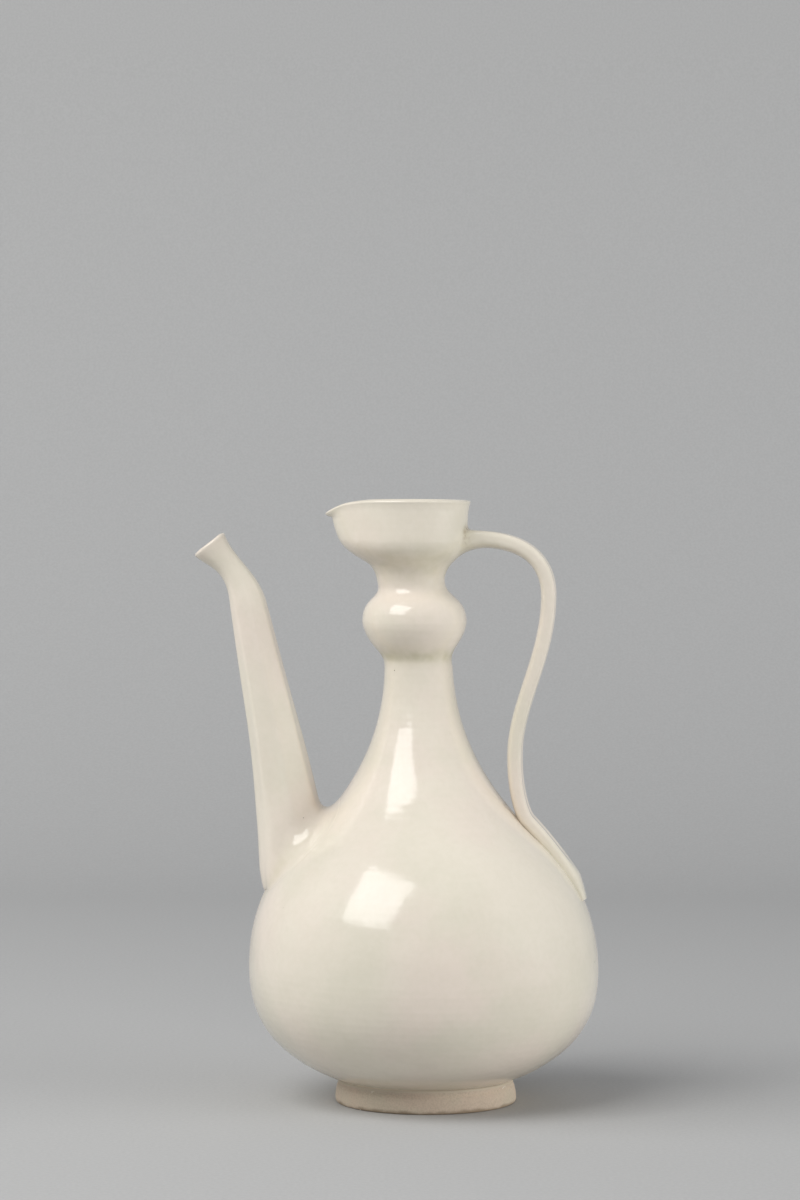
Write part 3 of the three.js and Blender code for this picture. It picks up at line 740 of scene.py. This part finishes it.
FACETS, TWIST = 8, math.radians(8)
HALF_FACET = math.pi / FACETS
SPOUT_SIZES = [(SEAT_AT, 19.3, -0.13), (BEND_AT, 9.7, -0.055), (THROAT_AT, 7.1, 0),
               (MOUTH_AT, 10.3, 0.35)]
SPOUT_WALLS = [4.8, 3.6, 3.0, 3.1]
BORE_SIZES = [(at, size * math.cos(HALF_FACET) - wall, rate)
              for (at, size, rate), wall in zip(SPOUT_SIZES, SPOUT_WALLS)]
spout_angles = TWIST + np.linspace(0, 2 * math.pi, 128, endpoint=False)


CUT_SHIFTS = np.radians([0.0, 2.1, -1.6, 0.8, -2.3, 1.2, -0.7, 1.9])


def facet(along, angles):
    """Share of the ridge radius: a polygon cut by hand, so no two of its facets are alike.
    Its corners soften at the root, where wet clay was smoothed over them, and towards the
    mouth."""
    softened = 15 * (1 - smooth(along, SEAT_AT + 8, SEAT_AT + 46))
    power = 27 - softened - 19 * smooth(along, BEND_AT - 46, MOUTH_AT - 8)
    wander = 0.03 * np.sin(along[:, None] / 13 + 2.4 * np.arange(FACETS))
    normals = TWIST + HALF_FACET + np.arange(FACETS) * 2 * HALF_FACET + CUT_SHIFTS + wander
    facing = np.maximum(np.cos(angles[:, None] - normals), 0) ** power[:, None]
    return math.cos(HALF_FACET) / facing.sum(axis=1) ** (1 / power)


def spout_ring(along, radius):
    tangent = spout_path.tangent(along)
    side = np.stack([tangent[:, 2], 0 * along, -tangent[:, 0]], axis=1)
    cos, sin = np.cos(spout_angles)[:, None], np.sin(spout_angles)[:, None]
    return spout_path.point(along) + side * cos * radius[:, None] + [0, 1, 0] * sin * radius[:, None]


def spout_outside(along):
    along = np.broadcast_to(along, spout_angles.shape).astype(float)
    return spout_ring(along, run_through(SPOUT_SIZES, along) * facet(along, spout_angles))


def spout_channel(along):
    along = np.broadcast_to(along, spout_angles.shape).astype(float)
    return spout_ring(along, run_through(BORE_SIZES, along))


# %% Spout
def make_spout():
    towards_neck = (1 + np.cos(spout_angles)) / 2
    beside = 4 * towards_neck * (1 - towards_neck)
    sizes = 15.0 - 3.5 * towards_neck + 2.0 * beside
    reach = -5.0 + 18.5 * towards_neck + 9.0 * beside
    start = body_wall.crossing(spout_outside, np.zeros(128), np.full(128, BEND_AT))
    bore_start = body_wall.crossing(spout_channel, np.zeros(128), np.full(128, BEND_AT))
    end = MOUTH_AT - 0.4
    rings = [spout_outside(end + (start + sizes - end) * n / 150) for n in range(150)]
    rings += fillet(body_wall, spout_outside, start, sizes, reach, seat)
    edge, hole = rings[-1], spout_channel(bore_start)
    rings += sunk_face(body_wall, edge, hole, 8)
    rings += [spout_channel(bore_start + (end - bore_start) * n / 70) for n in range(71)]
    inner, outer, tangent = rings[-1], rings[0], outward(MOUTH_SLOPE)
    half = np.linalg.norm(outer - inner, axis=1)[:, None] / 2
    middle = (outer + inner) / 2
    for a in np.linspace(math.pi, 0, 19)[1:-1]:
        rings.append(middle + (outer - inner) / 2 * math.cos(a) + tangent * half * math.sin(a) * 0.9)
    return finish_mesh(skin("cut_spout", rings, True, glaze), 60)


spout = make_spout()

# %% [markdown]
# The handle is one strap of pulled clay, a flattened oval whose outer face is slightly hollow
# from the thumb. It springs from the cup in an arch, bows in to a waist, and is
# pressed down on the shoulder, where its end is cut off in a small step.

# %% The handle's line
STRAP_WIDTH, STRAP_THICK, ROOT_THICK, STRAP_HOLLOW, ROUNDNESS = 17.0, 8.6, 10.0, 1.9, 0.74
HANDLE_TURN = math.radians(5)
TAIL_LENGTH, TAIL_THICK, TAIL_WIDTH = 12.0, 3.6, 13.0


def place(reach, height):
    return np.array([reach * math.cos(HANDLE_TURN), -reach * math.sin(HANDLE_TURN), height])


def handle_line():
    def on_shoulder(height, over):
        radius, out, up = body_wall.at(height)
        return radius + float(axis_shift(height)) + over * out, height + over * up, out, up

    root_z = BULB_TOP + 21.5
    root_x = 28.8 / 2 + float(axis_shift(root_z))
    reach, reach_z, waist, waist_z = 61.6, root_z - 27.2, 44.9, SHOULDER_Z + 40.5
    land_x, land_z, land_out, land_up = on_shoulder(SHOULDER_Z + 6.5, 3.2)
    tail_x, tail_z, tail_out, tail_up = on_shoulder(SHOULDER_Z - 30.5, 0)
    arch, fall, drop = reach - root_x, reach_z - waist_z, waist_z - land_z
    run, landing = math.hypot(tail_x - land_x, land_z - tail_z) / 3, drop * 0.1
    runs = [
        [(root_x, root_z), (root_x + arch * 0.79, root_z + 27.2 * 0.25),
         (reach, reach_z + 27.2 * 0.64), (reach, reach_z)],
        [(reach, reach_z), (reach, reach_z - fall * 0.39), (waist, waist_z + fall * 0.33),
         (waist, waist_z)],
        [(waist, waist_z), (waist, waist_z - drop * 0.6),
         (land_x - landing * land_up, land_z + landing * land_out), (land_x, land_z)],
        [(land_x, land_z), (land_x + run * land_up, land_z - run * land_out),
         (tail_x - run * tail_up, tail_z + run * tail_out), (tail_x, tail_z)],
    ]
    return Path(np.vstack([bezier([place(*p) for p in part], fine) for part in runs]))


handle_path = handle_line()
strap_angles = np.linspace(0, 2 * math.pi, 88, endpoint=False)
print("handle", round(handle_path.length, 1), "mm long")


# %% The strap's section
def strap(along):
    along = np.broadcast_to(along, strap_angles.shape).astype(float)
    tangent = handle_path.tangent(along)
    across = np.array([math.sin(HANDLE_TURN), math.cos(HANDLE_TURN), 0])
    back = np.cross(tangent, across)
    full = np.clip((handle_path.length - along) / TAIL_LENGTH, 0, 1)[:, None]
    thick = ROOT_THICK + (STRAP_THICK - ROOT_THICK) * smooth(along, 0, handle_path.length / 3)
    half_thick = (TAIL_THICK + (thick[:, None] - TAIL_THICK) * full) / 2
    half_wide = (TAIL_WIDTH + (STRAP_WIDTH - TAIL_WIDTH) * full) / 2
    cos, sin = np.cos(strap_angles)[:, None], np.sin(strap_angles)[:, None]
    behind = np.maximum(cos, 0) * np.maximum(1 - (np.abs(sin) / 0.86) ** 2, 0) ** 1.3
    squared = [np.sign(v) * np.abs(v) ** ROUNDNESS for v in (cos, sin)]
    pressed = smooth(along, 6, 26) * smooth(handle_path.length - along, 8, 34)
    hollow = STRAP_HOLLOW * behind * pressed[:, None]
    return (handle_path.point(along) + back * (squared[0] * half_thick - hollow)
            + across * squared[1] * half_wide)


# %% Handle
def make_handle():
    under = (1 - np.cos(strap_angles)) / 2
    sizes = 3.0 + 9.0 * under
    reach = 2.2 + 8.0 * under
    count, length = len(strap_angles), handle_path.length
    start = cup_wall.crossing(strap, np.zeros(count), np.full(count, length / 8))
    centre = cup_wall.settled(handle_path.point(np.array([start.mean()])))[0]
    joint = fillet(cup_wall, strap, start, sizes, reach, centre)
    rings = sunk_face(cup_wall, joint[-1], np.repeat(centre[None], count, axis=0), 5)[::-1]
    rings += joint[::-1]
    over = 0.5 * np.maximum(np.cos(strap_angles), 0) - 0.25
    for n in range(1, 261):
        ring = strap(start + sizes + (length - start - sizes) * n / 260)
        low = body_wall.distance(ring) < over
        rings.append(np.where(low[:, None], body_wall.settled(ring, over), ring))
    return finish_mesh(skin("strap_handle", rings, False, glaze), 60)


handle = make_handle()


# %% [markdown]
# Behind the spout the shoulder has its pour hole, drilled square to the wall. Here a
# Boolean is the right tool, because the real hole is a plain cut too.

# %% Pour hole
def drill(piece, radius=7.0, depth=18.0, sides=48):
    normal = np.array([-float(seat_out), 0, float(seat_up)])
    side, other = np.array([0, 1.0, 0]), np.cross(normal, [0, 1.0, 0])
    rings = []
    for end in (-depth / 2, depth / 2):
        turns = np.linspace(0, 2 * math.pi, sides, endpoint=False)[:, None]
        rings.append(seat + normal * end + side * np.cos(turns) * radius + other * np.sin(turns) * radius)
    cutter = finish_mesh(skin("drill", rings, False, glaze))
    cut = piece.modifiers.new("pour_hole", "BOOLEAN")
    cut.object, cut.operation, cut.solver = cutter, "DIFFERENCE", "EXACT"
    ready = piece.evaluated_get(bpy.context.evaluated_depsgraph_get())
    result = bpy.data.meshes.new_from_object(ready)
    piece.modifiers.clear()
    piece.data = result
    bpy.data.objects.remove(cutter)
    return piece


for part in (foot, bowl, bulb, cup, drill(shoulder)):
    finish_mesh(part)


# %% [markdown]
# Glaze runs into every inner corner before it sets, and the kiln stains the deepest ones.
# Two attributes on the meshes carry that: one where the glaze lies thick, which also paints
# shade under the cup and low on the belly, and stain, where it has gone brown. Painting them by
# hand would work for one model, but here they come from the distance to the joint lines and
# from height, so they stay right if a size changes.

# %% Pool, painted shade and stain attributes
def falloff(vertices, points, size):
    """1 on a line of points, fading to 0 over a few times that many millimetres."""
    nearest = np.full(len(vertices), 1e9)
    for point in points:
        nearest = np.minimum(nearest, ((vertices - point) ** 2).sum(axis=1))
    return np.exp(-nearest / size ** 2)


def joint_line(wall, line, count, far):
    crossing = wall.crossing(line, np.zeros(count), np.full(count, far))
    return to_metres(wall.settled(line(crossing)))


spout_joint = joint_line(body_wall, spout_outside, 128, BEND_AT)
handle_joint = joint_line(cup_wall, strap, len(strap_angles), handle_path.length / 8)
stained = handle_joint[(np.cos(strap_angles) > -0.15) & (np.sin(strap_angles) < 0.5)]
landing_z = 149.0
land_r = float(body_wall.at(landing_z)[0])
landing_x = land_r + float(axis_shift(landing_z))
landing = to_metres([place(landing_x, landing_z) + [0, w, 0] for w in np.linspace(-8, 8, 9)])


def shade_creases(piece):
    vertices = vertices_of(piece.data)
    height = vertices[:, 2] / MM
    on_axis = np.hypot(vertices[:, 0] - FOOT_X, vertices[:, 1]) < 38 * MM
    ring = on_axis * np.exp(-((height - NECK_TOP) / 3.2) ** 2)
    # Painted shade under the flare of the cup.
    painted_shade_under_cup = 0.5 * on_axis * np.exp(-((height - 268) / 9) ** 2)
    root = 0.55 * falloff(vertices, spout_joint[::4], 5 * MM)
    arm = 0.6 * falloff(vertices, handle_joint[::4], 4 * MM)
    # Painted shade on the lowest part of the belly, just above the foot.
    painted_shade_low_on_belly = 0.3 * np.exp(-((height - GLAZE_EDGE) / 7) ** 2)
    pool_and_shade = np.clip(0.8 * ring + painted_shade_under_cup + root + arm + painted_shade_low_on_belly, 0, 1)
    stain = np.clip(0.85 * falloff(vertices, stained, 2.1 * MM)
                    + 0.7 * falloff(vertices, landing, 1.4 * MM), 0, 1)
    for name, values in (("pool_and_shade", pool_and_shade), ("stain", stain)):
        piece.data.attributes.new(name, "FLOAT", "POINT").data.foreach_set("value", values)


for part in (bowl, shoulder, bulb, cup, spout, handle):
    shade_creases(part)

# %% Put the pieces in place of the CAD nodes
for part, node, slot in ((foot, "foot_ring", "bare_clay"), (bowl, "lower_body", "glaze"),
                         (shoulder, "shoulder_neck", "glaze"), (bulb, "neck_bulb", "glaze"),
                         (cup, "cup_mouth", "glaze"), (spout, "spout", "glaze"),
                         (handle, "handle", "glaze")):
    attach(part, "root")
    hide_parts(node)

# %% [markdown]
# The picture is taken in a small studio: a pale sweep of paper, a large softbox high on the
# left, a soft fill on each side, and dim walls. A glossy glaze shows every lamp, so only
# the softbox may be mirrored in it, and its size is chosen for the patch that it leaves.

# %% Sweep of paper
def make_sweep():
    width, front, back, rise, bend_size = 3.0, -2.4, 1.6, 2.6, 0.7
    turns = np.linspace(0, math.pi / 2, 17)
    line = [(front, 0)] + [(back - bend_size + math.sin(a) * bend_size,
                            bend_size - math.cos(a) * bend_size) for a in turns] + [(back, rise)]
    vertices = [(x, y, z) for y, z in line for x in (-width, width)]
    faces = [(2 * i, 2 * i + 1, 2 * i + 3, 2 * i + 2) for i in range(len(line) - 1)]
    mesh = bpy.data.meshes.new("sweep")
    mesh.from_pydata(vertices, [], faces)
    mesh.shade_smooth()
    sweep = bpy.data.objects.new("sweep", mesh)
    bpy.context.scene.collection.objects.link(sweep)
    paper = bpy.data.materials.new("paper")
    paper.use_nodes = True
    bench = Bench(paper.node_tree)
    shader = paper.node_tree.nodes["Principled BSDF"]
    where = bench.add("ShaderNodeTexCoord").outputs["Object"]
    fibre = bench.ramp(noise(bench, where, 2.0, 3.0), 0.3, 0.7)
    bench.tree.links.new(mixed(bench, fibre, linear(180, 180, 179), linear(185, 185, 184)),
                         shader.inputs["Base Color"])
    shader.inputs["Roughness"].default_value = 0.9
    mesh.materials.append(paper)


make_sweep()

# %% Lamps and dim walls
def softbox(name, place_at, aim, width, height, watts, colour=(1, 1, 1), mirrored=True):
    light = bpy.data.lights.new(name, "AREA")
    light.shape, light.size, light.size_y = "RECTANGLE", width, height
    light.energy, light.color = watts, colour
    lamp = bpy.data.objects.new(name, light)
    lamp.location = place_at
    lamp.rotation_euler = (Vector(aim) - Vector(place_at)).to_track_quat("-Z", "Y").to_euler()
    lamp.visible_glossy = mirrored
    bpy.context.scene.collection.objects.link(lamp)


softbox("key", (-1.08, -1.20, 1.88), (0, 0, 0.16), 1.45, 1.65, 32, (1, 0.99, 0.972))
softbox("left_fill", (-1.9, -0.3, 1.4), (0, 0, 0.15), 1.6, 1.4, 22, mirrored=False)
softbox("right_fill", (2.0, -0.75, 0.45), (0, 0, 0.06), 1.6, 0.9, 28, mirrored=False)

world = bpy.data.worlds.new("studio")
bpy.context.scene.world = world
world.use_nodes = True
world.node_tree.nodes["Background"].inputs["Color"].default_value = (0.9, 0.93, 1.0, 1)
world.node_tree.nodes["Background"].inputs["Strength"].default_value = 0.3

# %% [markdown]
# The camera stands nearly two metres off, just above the level of the rim, with a long lens.
# These numbers come from the photograph: its scale, and how much the foot's ellipse opens.

# %% Camera
camera_data = bpy.data.cameras.new("camera")
camera_data.lens = 114.65
camera_data.sensor_fit = "VERTICAL"
camera_data.sensor_height = 36
camera = bpy.data.objects.new("camera", camera_data)
camera.location = (FOOT_X, -1.900, 0.3165)
aim = Vector((FOOT_X - 0.0129, 0, 0.250)) - camera.location
camera.rotation_euler = aim.to_track_quat("-Z", "Y").to_euler()
bpy.context.scene.collection.objects.link(camera)
bpy.context.scene.camera = camera
bpy.context.scene.view_settings.view_transform = "Standard"
